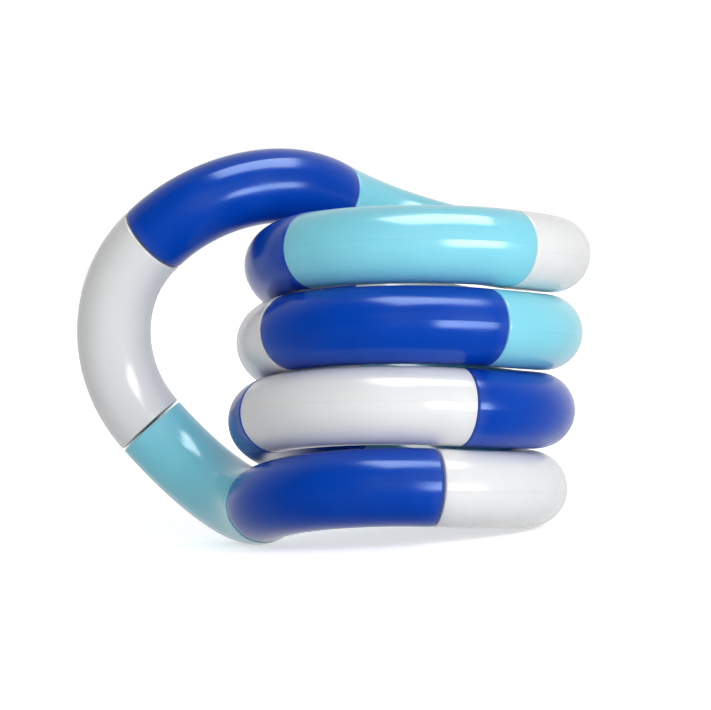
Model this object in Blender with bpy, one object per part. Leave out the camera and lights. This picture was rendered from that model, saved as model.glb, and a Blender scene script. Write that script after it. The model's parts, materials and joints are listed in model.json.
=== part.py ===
"""Twisty snake puzzle: a closed chain of curved tube links that swivel on one another.

The chain lies in its stacked pose: a coil of about four turns, and three links that
lead from the top of the coil down one side and back to its bottom.

Units are metres, +Z is up and the chain stands on Z = 0. A link is two half shells,
split on the plane of its bend, and a headed swivel pin that holds the end of the link
to the start of the next one. Junctions are counted from 0, where the first link starts.
"""
import math

import bpy
import numpy as np
from mathutils import Matrix, Vector

# Size of one link
TUBE_RADIUS = 0.0060
BEND_RADIUS = 0.0214
LINK_ANGLE = math.radians(91.8)
WALL = 0.0012
END_WALL = 0.0015
SEAM_GAP = 0.0003
END_GAP = 0.0006

# Swivel pin, and the room it has in the end walls
PIN_SHAFT_RADIUS = 0.0018
PIN_HEAD_RADIUS = 0.0030
PIN_HEAD_LENGTH = 0.0010
PIN_SIDE_CLEARANCE = 0.0004
PIN_END_CLEARANCE = 0.0006

# The stacked pose. A heading is the way that the tube runs through a junction, in degrees.
# Across the coil it turns evenly and climbs so that each turn lies on the one below it.
# The return headings are pairs: around Z from +X, and up.
ROW_GAP = 0.0005
COILED_JUNCTIONS = 15
COIL_FIRST_HEADING = -75.8
COIL_FIRST_LIFT = 5.6
COIL_LEAN_RIGHT = 5.9
COIL_LEAN_BACK = 5.2
RETURN_HEADINGS = [(-132.0, 18.5), (155.0, -39.5), (-5.0, -49.0)]

# What closes the ring: how stiffly a free heading keeps its place against a link's angle
HEADING_STIFFNESS = 0.3
CLOSING_PASSES = 40

# The chain is a ring. As a tree of joints it is cut at this junction, where the pin is short.
OPEN_JUNCTION = 17

# Facets
ARC_STEPS = 6
HALF_ROUND_STEPS = 6
PIN_SIDES = 8
CENTRE_LINE_SAMPLES = 16

LINK_COLOURS = [
    "blue", "white", "aqua", "blue", "white", "blue", "aqua", "white", "blue",
    "aqua", "white", "blue", "aqua", "white", "aqua", "blue", "white", "aqua",
]
COLOUR_VALUES = {
    "blue": (0.004, 0.045, 0.36, 1.0),
    "white": (0.82, 0.83, 0.84, 1.0),
    "aqua": (0.30, 0.70, 0.80, 1.0),
    "natural": (0.72, 0.71, 0.66, 1.0),
}
SHELL_ROUGHNESS = 0.22
PIN_ROUGHNESS = 0.45

LINK_COUNT = len(LINK_COLOURS)
CHORD = 2.0 * BEND_RADIUS * math.sin(LINK_ANGLE / 2.0)


def clear_scene():
    for item in list(bpy.data.objects):
        bpy.data.objects.remove(item, do_unlink=True)


def unit(vectors):
    return vectors / np.linalg.norm(vectors, axis=-1, keepdims=True)


def heading(around, up):
    return np.array([
        math.cos(up) * math.cos(around),
        math.cos(up) * math.sin(around),
        math.sin(up),
    ])


# ---------------------------------------------------------------- pose of the chain

def coil_headings():
    """Headings along the coil, a link's angle apart, about an axis that leans."""
    right = math.radians(COIL_LEAN_RIGHT)
    back = math.radians(COIL_LEAN_BACK)
    axis = np.array([
        math.sin(right),
        math.cos(right) * math.sin(back),
        math.cos(right) * math.cos(back),
    ])
    across = unit(np.array([1.0, 0.0, 0.0]) - axis * axis[0])
    away = np.cross(axis, across)
    links_per_turn = 2.0 * math.pi / LINK_ANGLE
    pitch = 2.0 * TUBE_RADIUS + ROW_GAP
    climb = pitch / links_per_turn / (2.0 * BEND_RADIUS * math.tan(LINK_ANGLE / 2.0))
    flat = math.sqrt(1.0 - climb * climb)
    step = math.acos((math.cos(LINK_ANGLE) - climb * climb) / (flat * flat))
    headings = []
    for junction in range(COILED_JUNCTIONS):
        angle = math.radians(COIL_FIRST_HEADING) + junction * step
        level = math.cos(angle) * across + math.sin(angle) * away
        lift = math.radians(COIL_FIRST_LIFT) if junction == 0 else math.asin(climb)
        headings.append(math.cos(lift) * level + math.sin(lift) * axis)
    return headings


def close_ring(wanted, free):
    """Move the free headings as little as it takes for the links' chords to form a ring.

    Each pass solves a linear least-squares problem. Its rows keep the free headings near
    the wanted ones, keep neighbours a link's angle apart, and, far more strictly, keep
    every heading a unit vector and make the chords add up to nothing.
    """
    count = len(wanted)
    headings = wanted.copy()
    columns = [3 * junction + axis for junction in free for axis in range(3)]
    strict = 1000.0
    for _ in range(CLOSING_PASSES):
        angle_rows = np.zeros((count, 3 * count))
        length_rows = np.zeros((count, 3 * count))
        chord_rows = np.zeros((3, 3 * count))
        chord_sum = np.zeros(3)
        angle_error = np.zeros(count)
        for link in range(count):
            following = (link + 1) % count
            here = slice(3 * link, 3 * link + 3)
            there = slice(3 * following, 3 * following + 3)
            start, end = headings[link], headings[following]
            angle_rows[link, here] += end
            angle_rows[link, there] += start
            angle_error[link] = start @ end - math.cos(LINK_ANGLE)
            length_rows[link, here] = start
            size = np.linalg.norm(start + end)
            chord = (start + end) / size
            across = (np.eye(3) - np.outer(chord, chord)) / size
            chord_rows[:, here] += across
            chord_rows[:, there] += across
            chord_sum += chord
        rows = np.vstack([
            HEADING_STIFFNESS * np.eye(len(columns)),
            angle_rows[:, columns],
            strict * length_rows[free][:, columns],
            strict * chord_rows[:, columns],
        ])
        target = np.concatenate([
            HEADING_STIFFNESS * (wanted - headings)[free].ravel(),
            -angle_error,
            np.zeros(len(free)),
            -strict * chord_sum,
        ])
        change = np.linalg.lstsq(rows, target, rcond=None)[0].reshape(len(free), 3)
        headings[free] = unit(headings[free] + change)
    return headings


def link_frames(headings):
    """One 3 x 4 frame per link: start tangent, way to the bend's centre, normal, start."""
    frames = []
    start = np.zeros(3)
    half = LINK_ANGLE / 2.0
    for link in range(len(headings)):
        before, after = headings[link], headings[(link + 1) % len(headings)]
        chord = unit(before + after)
        normal = unit(np.cross(before, after))
        outward = np.cross(chord, normal)
        tangent = math.cos(half) * chord + math.sin(half) * outward
        inward = math.sin(half) * chord - math.cos(half) * outward
        frames.append(np.column_stack([tangent, inward, normal, start]))
        start = start + CHORD * chord
    return frames


def centre_line(frame):
    """Points along a link's centre line."""
    tangent, inward, _, start = frame.T
    angles = np.linspace(0.0, LINK_ANGLE, CENTRE_LINE_SAMPLES)[:, None]
    return start + BEND_RADIUS * (np.sin(angles) * tangent + (1.0 - np.cos(angles)) * inward)


def resting_up(points):
    """The upward direction with which points of equal radius rest on a level surface.

    The chain tips about its lowest point, then about a line through two, until the middle
    of the chain is over the triangle of three points that touch.
    """
    middle = points.mean(axis=0)
    up = np.array([0.0, 0.0, 1.0])

    def tip(up, pivot, sideways, touching):
        offset = points - pivot
        rise, reach = offset @ up, offset @ sideways
        angle = np.where(reach > 1e-6, np.arctan2(rise, reach), np.inf)
        angle[touching] = np.inf
        found = int(np.argmin(angle))
        turned = math.cos(angle[found]) * up - math.sin(angle[found]) * sideways
        return turned, found

    first = int(np.argmin(points @ up))
    away = middle - points[first]
    up, second = tip(up, points[first], unit(away - (away @ up) * up), [first])
    touching = [first, second]
    for _ in range(12):
        pivot = points[touching[0]]
        along = unit(points[touching[1]] - pivot)
        sideways = np.cross(up, along)
        if (middle - pivot) @ sideways < 0.0:
            sideways = -sideways
        up, third = tip(up, pivot, sideways, touching)
        corners = touching + [third]
        outside = None
        for index, corner in enumerate(corners):
            low, high = [points[c] for c in corners if c != corner]
            inner = np.cross(up, unit(high - low))
            side = (points[corner] - low) @ inner
            if side * ((middle - low) @ inner) < 0.0:
                outside = index
        if outside is None:
            break
        touching = [c for index, c in enumerate(corners) if index != outside]
    return up


def stacked_frames():
    """The links' frames in the stacked pose, stood on a level surface."""
    wanted = coil_headings()
    for around, up in RETURN_HEADINGS:
        wanted.append(heading(math.radians(around), math.radians(up)))
    free = [0] + list(range(COILED_JUNCTIONS, LINK_COUNT))
    headings = close_ring(np.array(wanted), free)
    frames = link_frames(headings)
    points = np.concatenate([centre_line(frame) for frame in frames])
    up = resting_up(points)
    turn = np.array(Vector(up).rotation_difference(Vector((0.0, 0.0, 1.0))).to_matrix())
    return [turn @ frame for frame in frames], [turn @ way for way in headings]


# ---------------------------------------------------------------- meshes

def half_ring(radius, side):
    """Points across a half shell: over its round, from the outer to the inner seam."""
    lift = math.asin(SEAM_GAP / 2.0 / radius)
    points = []
    for step in range(HALF_ROUND_STEPS + 1):
        angle = lift + (math.pi - 2.0 * lift) * step / HALF_ROUND_STEPS
        points.append((radius * math.cos(angle), side * radius * math.sin(angle)))
    return points


def half_shell_mesh(side):
    """Half a link: a bent half tube with an end wall at each end, and half a bore in each.

    side is 1 for the half above the plane of the bend, and -1 for the half below it.
    """
    trim = END_GAP / 2.0 / BEND_RADIUS
    wall = END_WALL / BEND_RADIUS
    inner_start, inner_end = trim + wall, LINK_ANGLE - trim - wall
    between = [
        inner_start + (inner_end - inner_start) * step / ARC_STEPS
        for step in range(ARC_STEPS + 1)
    ]
    stations = [trim] + between + [LINK_ANGLE - trim]
    bore = half_ring(PIN_SHAFT_RADIUS + PIN_SIDE_CLEARANCE, side)
    hollow = half_ring(TUBE_RADIUS - WALL, side)
    outside = half_ring(TUBE_RADIUS, side)
    vertices = []
    faces = []

    def ring(section, angle):
        first = len(vertices)
        for out, height in section:
            radius = BEND_RADIUS + out
            x = radius * math.sin(angle)
            y = BEND_RADIUS - radius * math.cos(angle)
            vertices.append((x, y, height))
        return list(range(first, len(vertices)))

    def skin(one, two):
        for here in range(HALF_ROUND_STEPS):
            faces.append((one[here], two[here], two[here + 1], one[here + 1]))

    outer = [ring(outside, angle) for angle in stations]
    first_bore = [ring(bore, angle) for angle in stations[:2]]
    last_bore = [ring(bore, angle) for angle in stations[-2:]]
    hollows = [ring(hollow, angle) for angle in between]

    for one, two in zip(outer, outer[1:]):
        skin(one, two)
    for one, two in zip(hollows, hollows[1:]):
        skin(two, one)
    skin(first_bore[1], first_bore[0])
    skin(last_bore[1], last_bore[0])
    skin(hollows[0], first_bore[1])
    skin(last_bore[0], hollows[-1])
    skin(first_bore[0], outer[0])
    skin(outer[-1], last_bore[1])

    outer_seam, inner_seam = 0, HALF_ROUND_STEPS
    for seam in (outer_seam, inner_seam):
        strips = [[
            outer[0][seam], first_bore[0][seam], first_bore[1][seam],
            hollows[0][seam], outer[1][seam],
        ]]
        for step in range(ARC_STEPS):
            strips.append([
                outer[step + 1][seam], hollows[step][seam],
                hollows[step + 1][seam], outer[step + 2][seam],
            ])
        strips.append([
            outer[-2][seam], hollows[-1][seam], last_bore[0][seam],
            last_bore[1][seam], outer[-1][seam],
        ])
        for strip in strips:
            faces.append(tuple(strip) if seam == outer_seam else tuple(reversed(strip)))

    # The faces above are wound for the upper half, so the lower half turns them round
    if side < 0:
        faces = [tuple(reversed(face)) for face in faces]
    return solid_mesh("half_shell", vertices, faces)


def pin_mesh(is_short):
    """A turned pin along Z through a junction, headed inside both links.

    The short pin stops level with the end of the link that carries it.
    """
    reach = END_GAP / 2.0 + END_WALL + PIN_END_CLEARANCE
    end = reach + PIN_HEAD_LENGTH
    profile = [(PIN_HEAD_RADIUS, -end), (PIN_HEAD_RADIUS, -reach), (PIN_SHAFT_RADIUS, -reach)]
    if is_short:
        profile.append((PIN_SHAFT_RADIUS, -END_GAP / 2.0))
    else:
        profile.append((PIN_SHAFT_RADIUS, reach))
        profile.append((PIN_HEAD_RADIUS, reach))
        profile.append((PIN_HEAD_RADIUS, end))
    vertices = []
    for radius, height in profile:
        for side in range(PIN_SIDES):
            angle = 2.0 * math.pi * side / PIN_SIDES
            vertices.append((radius * math.cos(angle), radius * math.sin(angle), height))
    faces = [tuple(reversed(range(PIN_SIDES)))]
    for level in range(len(profile) - 1):
        base = level * PIN_SIDES
        for side in range(PIN_SIDES):
            following = (side + 1) % PIN_SIDES
            faces.append((
                base + side, base + following,
                base + PIN_SIDES + following, base + PIN_SIDES + side,
            ))
    top = (len(profile) - 1) * PIN_SIDES
    faces.append(tuple(range(top, top + PIN_SIDES)))
    return solid_mesh("swivel_pin", vertices, faces)


def solid_mesh(name, vertices, faces):
    mesh = bpy.data.meshes.new(name)
    mesh.from_pydata(vertices, [], faces)
    mesh.validate()
    mesh.shade_smooth()
    mesh.set_sharp_from_angle(angle=math.radians(35.0))
    return mesh


# ---------------------------------------------------------------- materials and objects

def plastic(name, roughness):
    material = bpy.data.materials.new(name + "_plastic")
    material.use_nodes = True
    shader = material.node_tree.nodes["Principled BSDF"]
    shader.inputs["Base Color"].default_value = COLOUR_VALUES[name]
    shader.inputs["Roughness"].default_value = roughness
    shader.inputs["Metallic"].default_value = 0.0
    material.diffuse_color = COLOUR_VALUES[name]
    return material


def place(name, mesh, material, columns, parent):
    """An object whose local axes and origin are the columns of a 3 x 4 frame."""
    part = bpy.data.objects.new(name, mesh)
    bpy.context.scene.collection.objects.link(part)
    part.parent = parent
    part.matrix_world = Matrix(columns.tolist() + [[0.0, 0.0, 0.0, 1.0]])
    part.material_slots[0].link = "OBJECT"
    part.material_slots[0].material = material
    return part


def build_link(link, frames, headings, meshes, materials, parent):
    """The two half shells of a link, and the pin at its end."""
    name = "link_{:02d}_".format(link + 1)
    junction = (link + 1) % LINK_COUNT
    colour = materials[LINK_COLOURS[link]]
    place(name + "upper_shell", meshes["upper"], colour, frames[link], parent)
    place(name + "lower_shell", meshes["lower"], colour, frames[link], parent)

    axis = headings[junction]
    side = unit(np.cross(frames[link][:, 2], axis))
    origin = frames[junction][:, 3]
    pin_frame = np.column_stack([side, np.cross(axis, side), axis, origin])
    mesh = meshes["short_pin" if junction == OPEN_JUNCTION else "pin"]
    place(name + "swivel_pin", mesh, materials["natural"], pin_frame, parent)


def stand_on_origin(stand, parts):
    """Move the chain so that the middle of its base is at the origin."""
    bpy.context.view_layer.update()
    corners = np.array([
        part.matrix_world @ vertex.co for part in parts for vertex in part.data.vertices
    ])
    low, high = corners.min(axis=0), corners.max(axis=0)
    stand.location = (-(low[0] + high[0]) / 2.0, -(low[1] + high[1]) / 2.0, -low[2])
    bpy.context.view_layer.update()


def main():
    clear_scene()
    frames, headings = stacked_frames()
    meshes = {
        "upper": half_shell_mesh(1),
        "lower": half_shell_mesh(-1),
        "pin": pin_mesh(False),
        "short_pin": pin_mesh(True),
    }
    materials = {name: plastic(name, SHELL_ROUGHNESS) for name in ("blue", "white", "aqua")}
    materials["natural"] = plastic("natural", PIN_ROUGHNESS)
    for mesh in meshes.values():
        mesh.materials.append(None)

    stand = bpy.data.objects.new("stand", None)
    bpy.context.scene.collection.objects.link(stand)
    for link in range(LINK_COUNT):
        build_link(link, frames, headings, meshes, materials, stand)
    stand_on_origin(stand, [part for part in bpy.data.objects if part.type == "MESH"])


main()
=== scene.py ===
"""Looks of the twisty snake puzzle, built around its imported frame.

Every link is two glossy half shells with rounded ends, and every junction has a turned
pin. They stand for the plain solids of the frame, at the same places, in metres.
"""
import json
import math

import bpy
import numpy as np
from mathutils import Matrix, Vector

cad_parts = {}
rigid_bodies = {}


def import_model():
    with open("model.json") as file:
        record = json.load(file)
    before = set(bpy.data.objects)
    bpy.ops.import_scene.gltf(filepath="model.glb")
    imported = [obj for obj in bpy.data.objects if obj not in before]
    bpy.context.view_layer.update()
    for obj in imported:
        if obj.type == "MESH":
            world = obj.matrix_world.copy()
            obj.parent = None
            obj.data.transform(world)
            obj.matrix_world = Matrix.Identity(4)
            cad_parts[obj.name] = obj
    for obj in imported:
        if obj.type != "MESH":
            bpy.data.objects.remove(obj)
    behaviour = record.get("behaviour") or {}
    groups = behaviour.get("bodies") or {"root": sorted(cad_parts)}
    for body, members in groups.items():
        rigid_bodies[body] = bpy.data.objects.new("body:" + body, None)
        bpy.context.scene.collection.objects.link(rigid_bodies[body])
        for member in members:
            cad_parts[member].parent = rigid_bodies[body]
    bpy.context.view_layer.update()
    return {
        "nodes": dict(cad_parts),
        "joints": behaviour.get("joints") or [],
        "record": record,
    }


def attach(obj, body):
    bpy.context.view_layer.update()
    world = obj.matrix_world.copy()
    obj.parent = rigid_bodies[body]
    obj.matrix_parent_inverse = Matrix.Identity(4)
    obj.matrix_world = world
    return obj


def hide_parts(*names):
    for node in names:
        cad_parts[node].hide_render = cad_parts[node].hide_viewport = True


# The links and pins, as the frame has them
TUBE_RADIUS = 0.0060
BEND_RADIUS = 0.0214
LINK_ANGLE = math.radians(91.8)
WALL = 0.0012
END_WALL = 0.0015
END_GAP = 0.0006
PIN_SHAFT_RADIUS = 0.0018
PIN_HEAD_RADIUS = 0.0030
PIN_HEAD_LENGTH = 0.0010
PIN_SIDE_CLEARANCE = 0.0004
PIN_END_CLEARANCE = 0.0006
BORE_RADIUS = PIN_SHAFT_RADIUS + PIN_SIDE_CLEARANCE
LINK_COUNT = 18
OPEN_JUNCTION = 17
POINT_DIGITS = 7

# What the finished surface has of its own
LEAST_END_GAP = 0.0001
END_ROUND = 0.0003
SEAM_GAP = 0.00001
PIN_ROUND = 0.0002

ARC_STEPS = 40
HALF_ROUND_STEPS = 28
END_ROUND_STEPS = 6
PIN_SIDES = 48
PIN_ROUND_STEPS = (0.0, 0.3, 0.7, 1.0)
SHARP_ANGLE = math.radians(40.0)

# The plastic's finish: noise scales are in waves per metre, distances in metres
NOISE_SPAN = (0.3, 0.7)
CLOUD_SCALE = 200.0
WEAR_SCALE = 420.0
WEAR_SPAN = (0.1, 0.5)
WEAR_FADE = 0.86
WEAR_LIFT = 0.06
MARK_SCALE = 130.0
MARK_SPAN = (0.80, 1.20)
PEEL_SCALE = 500.0
PEEL_STRENGTH = 0.04
PEEL_DISTANCE = 0.00003
SINK_SCALE = 150.0
SINK_STRENGTH = 0.10
SINK_DISTANCE = 0.00012
PLASTIC_IOR = 1.5
COAT_ROUGHNESS = 0.09
WHITE = (1.0, 1.0, 1.0)

CAMERA_POSITION = Vector((0.00385, -0.55437, 0.04721))
CAMERA_AIM = Vector((0.00324, -0.00667, 0.02902))
CAMERA_ROLL = math.radians(-3.81)
CAMERA_LENS = 177.2
SENSOR_WIDTH = 36.0

FLOOR_RADIUS = 4.0
FLOOR_SIDES = 96
FLOOR_COLOUR = (0.92, 0.92, 0.92)
FLOOR_ROUGHNESS = 0.9
FLOOR_GLOSS = 0.1
FLOOR_FADE = (0.1, 0.8)
FLOOR_GLOW = (0.60, 0.95)

# The room's light by way, from behind the camera to behind the chain
ROOM_SPAN = (-0.2, 0.8)
ROOM_LIGHT = (0.05, 0.90)
LAMP_AIM = Vector((0.0, 0.0, 0.03))


def unit(vector):
    """The same way, one long."""
    return vector / np.linalg.norm(vector)


# ---------------------------------------------------------------- places from the frame

def link_name(link):
    return "link_{:02d}".format(link + 1)


def open_junction_from_pin(node):
    """Place and heading of the junction that has no joint, from its short pin's solid."""
    points = np.array([vertex.co[:] for vertex in node.data.vertices])
    points = np.unique(points.round(POINT_DIGITS), axis=0)
    middle = points.mean(axis=0)
    spread, ways = np.linalg.eigh((points - middle).T @ (points - middle))
    lone = 0 if spread[1] - spread[0] > spread[2] - spread[1] else 2
    way = ways[:, lone]
    along = (points - middle) @ way
    # The head, where most corners lie far from the axis, is at the pin's start
    reach = np.linalg.norm(points - middle - np.outer(along, way), axis=1)
    if along[reach > reach.mean()].mean() > along.mean():
        way, along = -way, -along
    return middle + (along.max() + END_GAP / 2.0) * way, way


def junctions(frame):
    """Place and heading of each junction, in order along the chain."""
    places = [None] * LINK_COUNT
    for joint in frame["joints"]:
        place = np.array(joint["pos_m"], float)
        way = unit(np.array(joint["axis"], float))
        parent = int(joint["parent"].split("_")[1])
        child = int(joint["child"].split("_")[1])
        if child > parent + 1:
            places[0] = (place, -way)
        else:
            places[child - 1] = (place, way)
    pin = frame["nodes"][link_name(OPEN_JUNCTION - 1) + "_swivel_pin"]
    places[OPEN_JUNCTION] = open_junction_from_pin(pin)
    return places


def link_frame(before, after):
    """Start tangent, way to the bend's centre and normal, as columns."""
    half = LINK_ANGLE / 2.0
    chord = unit(before + after)
    normal = unit(np.cross(before, after))
    outward = np.cross(chord, normal)
    tangent = math.cos(half) * chord + math.sin(half) * outward
    inward = math.sin(half) * chord - math.cos(half) * outward
    return np.column_stack([tangent, inward, normal])


# ---------------------------------------------------------------- meshes

def half_ring(radius, side):
    """Half a circle of the tube's section, stopping short of the seam."""
    lift = math.asin(SEAM_GAP / 2.0 / radius)
    points = []
    for step in range(HALF_ROUND_STEPS + 1):
        angle = lift + (math.pi - 2.0 * lift) * step / HALF_ROUND_STEPS
        points.append((radius * math.cos(angle), side * radius * math.sin(angle)))
    return points


def junction_trim(face, way):
    """Angle that a link stops short of a junction, so that tilted ends turn clear."""
    tilt = math.acos(min(1.0, abs(float(face @ way))))
    return (LEAST_END_GAP / 2.0 + TUBE_RADIUS * math.sin(tilt)) / BEND_RADIUS


def half_shell_mesh(side, start_trim, end_trim):
    """Half a link with rounded end rims, a hollow, two end walls and half bores."""
    wall = (END_GAP / 2.0 + END_WALL) / BEND_RADIUS
    low, high = wall, LINK_ANGLE - wall
    between = [low + (high - low) * step / ARC_STEPS for step in range(ARC_STEPS + 1)]
    rim = []
    for step in range(END_ROUND_STEPS + 1):
        turn = math.pi / 2.0 * step / END_ROUND_STEPS
        back = END_ROUND * (1.0 - math.cos(turn)) / BEND_RADIUS
        rim.append((back, TUBE_RADIUS - END_ROUND * (1.0 - math.sin(turn))))
    stations = [(start_trim + back, radius) for back, radius in rim]
    stations += [(angle, TUBE_RADIUS) for angle in between]
    stations += [(LINK_ANGLE - end_trim - back, radius) for back, radius in reversed(rim)]
    bore_stations = [start_trim, low, high, LINK_ANGLE - end_trim]
    vertices = []
    faces = []

    def ring(radius, angle):
        first = len(vertices)
        for out, height in half_ring(radius, side):
            reach = BEND_RADIUS + out
            x = reach * math.sin(angle)
            y = BEND_RADIUS - reach * math.cos(angle)
            vertices.append((x, y, height))
        return list(range(first, len(vertices)))

    def skin(one, two):
        for here in range(HALF_ROUND_STEPS):
            faces.append((one[here], two[here], two[here + 1], one[here + 1]))

    outer = [ring(radius, angle) for angle, radius in stations]
    bores = [ring(BORE_RADIUS, angle) for angle in bore_stations]
    hollows = [ring(TUBE_RADIUS - WALL, angle) for angle in between]
    for one, two in zip(outer, outer[1:]):
        skin(one, two)
    for one, two in zip(hollows, hollows[1:]):
        skin(two, one)
    skin(bores[1], bores[0])
    skin(bores[3], bores[2])
    skin(hollows[0], bores[1])
    skin(bores[2], hollows[-1])
    skin(bores[0], outer[0])
    skin(outer[-1], bores[3])

    first = len(rim)
    last = len(outer) - len(rim) - 1
    for seam in (0, HALF_ROUND_STEPS):
        strips = [
            [bores[0][seam], bores[1][seam], hollows[0][seam]]
            + [outer[index][seam] for index in range(first, -1, -1)]
        ]
        for step in range(ARC_STEPS):
            strips.append([
                outer[first + step][seam], hollows[step][seam],
                hollows[step + 1][seam], outer[first + step + 1][seam],
            ])
        strips.append(
            [hollows[-1][seam], bores[2][seam], bores[3][seam]]
            + [outer[index][seam] for index in range(len(outer) - 1, last - 1, -1)]
        )
        for strip in strips:
            faces.append(tuple(strip) if seam == 0 else tuple(reversed(strip)))
    if side < 0:
        faces = [tuple(reversed(face)) for face in faces]
    mesh = solid_mesh("fine_half_shell", vertices, faces)
    rims = outer[:len(rim) + 1] + outer[-len(rim) - 1:]
    worn = mesh.attributes.new("rim", "FLOAT", "POINT")
    for depth, ring_points in enumerate(rims):
        inside = depth in (len(rim), len(rim) + 1)
        for point in ring_points:
            worn.data[point].value = 0.0 if inside else 1.0
    return mesh


def rounded_profile(corners):
    """Radius and height down a turned pin, with each outer corner eased."""
    profile = []
    for index, (radius, height, outward) in enumerate(corners):
        if not outward:
            profile.append((radius, height))
            continue
        before, after = corners[index - 1], corners[(index + 1) % len(corners)]
        for fraction in PIN_ROUND_STEPS:
            turn = math.pi / 2.0 * fraction
            middle = []
            for axis in (0, 1):
                here = corners[index][axis]
                back = np.sign(before[axis] - here) * PIN_ROUND * (1.0 - math.sin(turn))
                on = np.sign(after[axis] - here) * PIN_ROUND * (1.0 - math.cos(turn))
                middle.append(here + back + on)
            profile.append(tuple(middle))
    return profile


def pin_mesh(is_short):
    """A turned pin along Z, headed at both ends, or at its start only."""
    reach = END_GAP / 2.0 + END_WALL + PIN_END_CLEARANCE
    end = reach + PIN_HEAD_LENGTH
    corners = [
        (0.0, -end, False),
        (PIN_HEAD_RADIUS, -end, True),
        (PIN_HEAD_RADIUS, -reach, True),
        (PIN_SHAFT_RADIUS, -reach, False),
    ]
    if is_short:
        corners += [
            (PIN_SHAFT_RADIUS, -END_GAP / 2.0, True),
            (0.0, -END_GAP / 2.0, False),
        ]
    else:
        corners += [
            (PIN_SHAFT_RADIUS, reach, False),
            (PIN_HEAD_RADIUS, reach, True),
            (PIN_HEAD_RADIUS, end, True),
            (0.0, end, False),
        ]
    profile = rounded_profile(corners)
    vertices = [(0.0, 0.0, profile[0][1])]
    rings = []
    for radius, height in profile[1:-1]:
        rings.append(len(vertices))
        for step in range(PIN_SIDES):
            angle = 2.0 * math.pi * step / PIN_SIDES
            vertices.append((radius * math.cos(angle), radius * math.sin(angle), height))
    vertices.append((0.0, 0.0, profile[-1][1]))
    faces = []
    for step in range(PIN_SIDES):
        following = (step + 1) % PIN_SIDES
        faces.append((0, rings[0] + following, rings[0] + step))
        faces.append((len(vertices) - 1, rings[-1] + step, rings[-1] + following))
        for one, two in zip(rings, rings[1:]):
            faces.append((one + step, one + following, two + following, two + step))
    return solid_mesh("fine_pin", vertices, faces)


def solid_mesh(name, vertices, faces):
    """A checked mesh, smooth but for its sharp edges."""
    mesh = bpy.data.meshes.new(name)
    mesh.from_pydata(vertices, [], faces)
    mesh.validate()
    mesh.shade_smooth()
    mesh.set_sharp_from_angle(angle=SHARP_ANGLE)
    return mesh


# ---------------------------------------------------------------- materials

def shader_tree(name):
    """A new material, its nodes and its shader."""
    material = bpy.data.materials.new(name)
    material.use_nodes = True
    tree = material.node_tree
    return material, tree, tree.nodes["Principled BSDF"]


def noise(tree, scale, detail, roughness):
    """Noise over a piece's own coordinates."""
    place = tree.nodes.new("ShaderNodeTexCoord")
    texture = tree.nodes.new("ShaderNodeTexNoise")
    texture.inputs["Scale"].default_value = scale
    texture.inputs["Detail"].default_value = detail
    texture.inputs["Roughness"].default_value = roughness
    tree.links.new(place.outputs["Object"], texture.inputs["Vector"])
    return texture.outputs["Fac"]


def ranged(tree, source, source_span, result_span):
    """A value carried from one span to another, and held at its ends."""
    node = tree.nodes.new("ShaderNodeMapRange")
    node.inputs["From Min"].default_value = source_span[0]
    node.inputs["From Max"].default_value = source_span[1]
    node.inputs["To Min"].default_value = result_span[0]
    node.inputs["To Max"].default_value = result_span[1]
    tree.links.new(source, node.inputs["Value"])
    return node.outputs["Result"]


def product(tree, one, two):
    node = tree.nodes.new("ShaderNodeMath")
    node.operation = "MULTIPLY"
    tree.links.new(one, node.inputs[0])
    tree.links.new(two, node.inputs[1])
    return node.outputs["Value"]


def colour_mix(tree, factor, second):
    """A mix towards the second colour, and its socket for the first."""
    node = tree.nodes.new("ShaderNodeMix")
    node.data_type = "RGBA"
    node.inputs["B"].default_value = (*second, 1.0)
    tree.links.new(factor, node.inputs["Factor"])
    return node.outputs["Result"], node.inputs["A"]


def bump(tree, height, strength, distance):
    """A bump's result, and its socket for the normal that it starts from."""
    node = tree.nodes.new("ShaderNodeBump")
    node.inputs["Strength"].default_value = strength
    node.inputs["Distance"].default_value = distance
    tree.links.new(height, node.inputs["Height"])
    return node.outputs["Normal"], node.inputs["Normal"]


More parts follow.
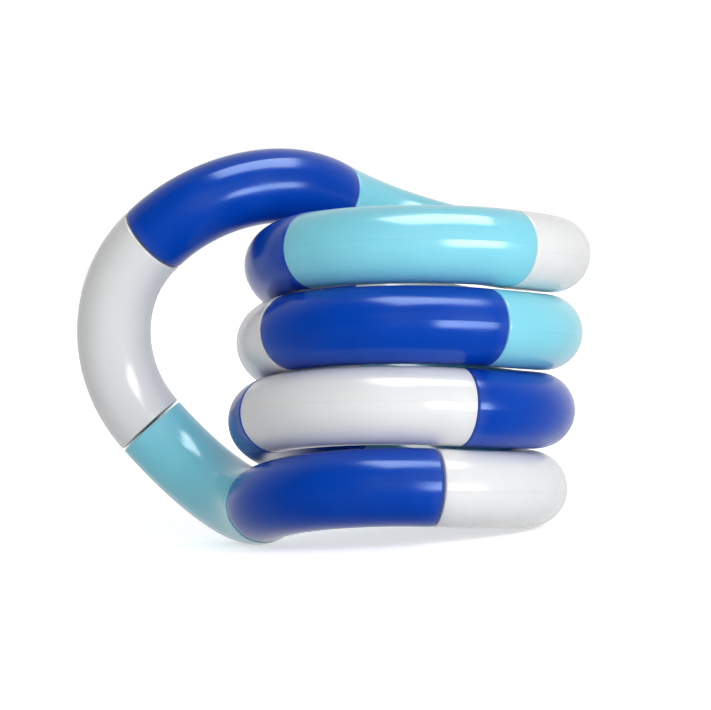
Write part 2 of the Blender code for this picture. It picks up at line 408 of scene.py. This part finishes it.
def moulded_plastic(name, colour, clouded, roughness, coat=0.0, gloss_tint=WHITE):
    """Glossy moulded plastic: faint clouding, sink and orange peel, rubbed rims."""
    material, tree, shader = shader_tree(name)

    # Clouding of the colour, a few millimetres across
    clouding = ranged(tree, noise(tree, CLOUD_SCALE, 1.0, 0.4), NOISE_SPAN, (0.0, 1.0))
    clouds, clear = colour_mix(tree, clouding, clouded)
    clear.default_value = (*colour, 1.0)

    # Rims rubbed a little paler by handling
    rubbed = [channel * WEAR_FADE + WEAR_LIFT for channel in colour]
    rim = tree.nodes.new("ShaderNodeAttribute")
    rim.attribute_name = "rim"
    patches = ranged(tree, noise(tree, WEAR_SCALE, 2.0, 0.6), NOISE_SPAN, WEAR_SPAN)
    worn, unworn = colour_mix(tree, product(tree, rim.outputs["Fac"], patches), rubbed)
    tree.links.new(clouds, unworn)
    tree.links.new(worn, shader.inputs["Base Color"])

    # Handling marks in the gloss
    span = [roughness * share for share in MARK_SPAN]
    marks = ranged(tree, noise(tree, MARK_SCALE, 1.0, 0.4), NOISE_SPAN, span)
    tree.links.new(marks, shader.inputs["Roughness"])

    # Orange peel and faint sink of the moulding
    peel, _ = bump(tree, noise(tree, PEEL_SCALE, 0.0, 0.5), PEEL_STRENGTH, PEEL_DISTANCE)
    sink, under = bump(tree, noise(tree, SINK_SCALE, 1.0, 0.4), SINK_STRENGTH, SINK_DISTANCE)
    tree.links.new(peel, under)
    tree.links.new(sink, shader.inputs["Normal"])

    shader.inputs["IOR"].default_value = PLASTIC_IOR
    shader.inputs["Specular Tint"].default_value = (*gloss_tint, 1.0)
    shader.inputs["Coat Weight"].default_value = coat
    shader.inputs["Coat Roughness"].default_value = COAT_ROUGHNESS
    return material


def floor_material():
    """Pale paper that a camera sees glow with distance, so it has no far edge."""
    material, tree, shader = shader_tree("floor_paper")
    shader.inputs["Base Color"].default_value = (*FLOOR_COLOUR, 1.0)
    shader.inputs["Roughness"].default_value = FLOOR_ROUGHNESS
    shader.inputs["Specular IOR Level"].default_value = FLOOR_GLOSS
    shader.inputs["Emission Color"].default_value = (*WHITE, 1.0)
    place = tree.nodes.new("ShaderNodeTexCoord")
    reach = tree.nodes.new("ShaderNodeVectorMath")
    reach.operation = "LENGTH"
    tree.links.new(place.outputs["Object"], reach.inputs[0])
    glow = ranged(tree, reach.outputs["Value"], FLOOR_FADE, FLOOR_GLOW)
    seen = tree.nodes.new("ShaderNodeLightPath").outputs["Is Camera Ray"]
    tree.links.new(product(tree, seen, glow), shader.inputs["Emission Strength"])
    return material


# ---------------------------------------------------------------- pieces

def piece(name, mesh, material, columns, origin):
    """A piece at rest, with its own mesh in the frame's coordinates."""
    own = mesh.copy()
    own.name = name
    place = Matrix(np.column_stack([columns, origin]).tolist() + [[0.0, 0.0, 0.0, 1.0]])
    own.transform(place)
    own.materials.clear()
    own.materials.append(material)
    made = bpy.data.objects.new(name, own)
    bpy.context.scene.collection.objects.link(made)
    return made


def build_chain(frame, materials):
    """Two half shells and a pin for every link, each in place of its node."""
    places = junctions(frame)
    pins = {is_short: pin_mesh(is_short) for is_short in (True, False)}
    slots = {row["node"]: row["material_slot"] for row in frame["record"]["subparts"]}
    for link in range(LINK_COUNT):
        name = link_name(link)
        following = (link + 1) % LINK_COUNT
        start, before = places[link]
        origin, after = places[following]
        columns = link_frame(before, after)
        tangent, inward, normal = columns.T
        end_face = math.cos(LINK_ANGLE) * tangent + math.sin(LINK_ANGLE) * inward
        trims = junction_trim(tangent, before), junction_trim(end_face, after)
        for half, half_side in (("upper_shell", 1), ("lower_shell", -1)):
            mesh = half_shell_mesh(half_side, *trims)
            node = name + "_" + half
            slot = slots[node]
            shell = piece(name + "_fine_" + half, mesh, materials[slot], columns, start)
            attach(shell, name)
            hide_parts(node)
        side = unit(np.cross(normal, after))
        turned = np.column_stack([side, np.cross(after, side), after])
        node = name + "_swivel_pin"
        slot = slots[node]
        mesh = pins[following == OPEN_JUNCTION]
        pin = piece(name + "_fine_pin", mesh, materials[slot], turned, origin)
        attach(pin, name)
        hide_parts(node)


# ---------------------------------------------------------------- stage

def facing(position, aim, roll):
    """Where a camera stands to look at its aim, turned about its own line of sight."""
    way = (aim - position).normalized()
    turn = way.to_track_quat("-Z", "Y").to_matrix().to_4x4()
    return Matrix.Translation(position) @ turn @ Matrix.Rotation(roll, 4, "Z")


def softbox(name, first, last, distance, width, radiance):
    """A rectangular lamp from one direction round to another, facing the chain."""
    ends = [LAMP_AIM + Vector(way).normalized() * distance for way in (first, last)]
    middle = (ends[0] + ends[1]) / 2.0
    along = (ends[1] - ends[0]).normalized()
    back = (middle - LAMP_AIM).normalized()
    back = (back - along * back.dot(along)).normalized()
    lamp = bpy.data.lights.new(name, "AREA")
    lamp.shape = "RECTANGLE"
    lamp.size = (ends[1] - ends[0]).length
    lamp.size_y = width
    lamp.energy = radiance * math.pi * lamp.size * lamp.size_y
    made = bpy.data.objects.new(name, lamp)
    bpy.context.scene.collection.objects.link(made)
    turn = Matrix((along, back.cross(along), back)).transposed().to_4x4()
    made.matrix_world = Matrix.Translation(middle) @ turn
    return made


def build_floor():
    """A round sheet that the chain lies on, left out of the plastic's reflections."""
    vertices = [(0.0, 0.0, 0.0)]
    for step in range(FLOOR_SIDES):
        angle = 2.0 * math.pi * step / FLOOR_SIDES
        vertices.append((FLOOR_RADIUS * math.cos(angle), FLOOR_RADIUS * math.sin(angle), 0.0))
    faces = [(0, step + 1, (step + 1) % FLOOR_SIDES + 1) for step in range(FLOOR_SIDES)]
    mesh = bpy.data.meshes.new("floor")
    mesh.from_pydata(vertices, [], faces)
    mesh.materials.append(floor_material())
    floor = bpy.data.objects.new("floor", mesh)
    bpy.context.scene.collection.objects.link(floor)
    floor.visible_glossy = False


def build_room():
    """White where the camera sees it, and for light pale behind and dim in front."""
    world = bpy.data.worlds.new("studio")
    world.use_nodes = True
    tree = world.node_tree
    backdrop = tree.nodes["Background"]
    backdrop.inputs["Color"].default_value = (*WHITE, 1.0)
    backdrop.inputs["Strength"].default_value = 1.0
    room = tree.nodes.new("ShaderNodeBackground")
    room.inputs["Color"].default_value = (*WHITE, 1.0)
    place = tree.nodes.new("ShaderNodeTexCoord")
    parts = tree.nodes.new("ShaderNodeSeparateXYZ")
    tree.links.new(place.outputs["Generated"], parts.inputs["Vector"])
    light = ranged(tree, parts.outputs["Y"], ROOM_SPAN, ROOM_LIGHT)
    tree.links.new(light, room.inputs["Strength"])
    seen = tree.nodes.new("ShaderNodeLightPath")
    either = tree.nodes.new("ShaderNodeMixShader")
    tree.links.new(seen.outputs["Is Camera Ray"], either.inputs["Fac"])
    tree.links.new(room.outputs["Background"], either.inputs[1])
    tree.links.new(backdrop.outputs["Background"], either.inputs[2])
    tree.links.new(either.outputs["Shader"], tree.nodes["World Output"].inputs["Surface"])
    bpy.context.scene.world = world


def build_lamps():
    """Two strips that only make highlights, and a broad lamp that makes none."""
    top = softbox("top_strip", (-0.14, -0.32, 0.94), (0.58, 0.02, 0.81), 0.60, 0.30, 9.0)
    side = softbox("side_strip", (0.31, -0.95, 0.01), (0.85, -0.53, 0.01), 0.70, 0.17, 13.0)
    fill = softbox("front_fill", (-0.30, -0.90, 0.20), (0.95, -0.45, 0.20), 0.90, 0.80, 2.7)
    top.visible_diffuse = False
    side.visible_diffuse = False
    fill.visible_glossy = False


def build_camera():
    lens = bpy.data.cameras.new("camera")
    lens.lens = CAMERA_LENS
    lens.sensor_width = SENSOR_WIDTH
    camera = bpy.data.objects.new("camera", lens)
    bpy.context.scene.collection.objects.link(camera)
    camera.matrix_world = facing(CAMERA_POSITION, CAMERA_AIM, CAMERA_ROLL)
    bpy.context.scene.camera = camera
    bpy.context.scene.view_settings.view_transform = "Standard"


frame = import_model()
finishes = {
    "blue_plastic": moulded_plastic(
        "glossy_blue", colour=(0.0, 0.056, 0.47), clouded=(0.0, 0.052, 0.44),
        roughness=0.22, gloss_tint=(0.6, 0.82, 1.0)),
    "white_plastic": moulded_plastic(
        "glossy_white", colour=(0.84, 0.845, 0.85), clouded=(0.82, 0.825, 0.83),
        roughness=0.22, coat=0.15),
    "aqua_plastic": moulded_plastic(
        "glossy_aqua", colour=(0.245, 0.71, 0.85), clouded=(0.235, 0.695, 0.835),
        roughness=0.20, coat=0.15),
    "natural_plastic": moulded_plastic(
        "natural_pin", colour=(0.72, 0.71, 0.66), clouded=(0.66, 0.65, 0.60),
        roughness=0.40),
}
build_chain(frame, finishes)
build_floor()
build_room()
build_lamps()
build_camera()
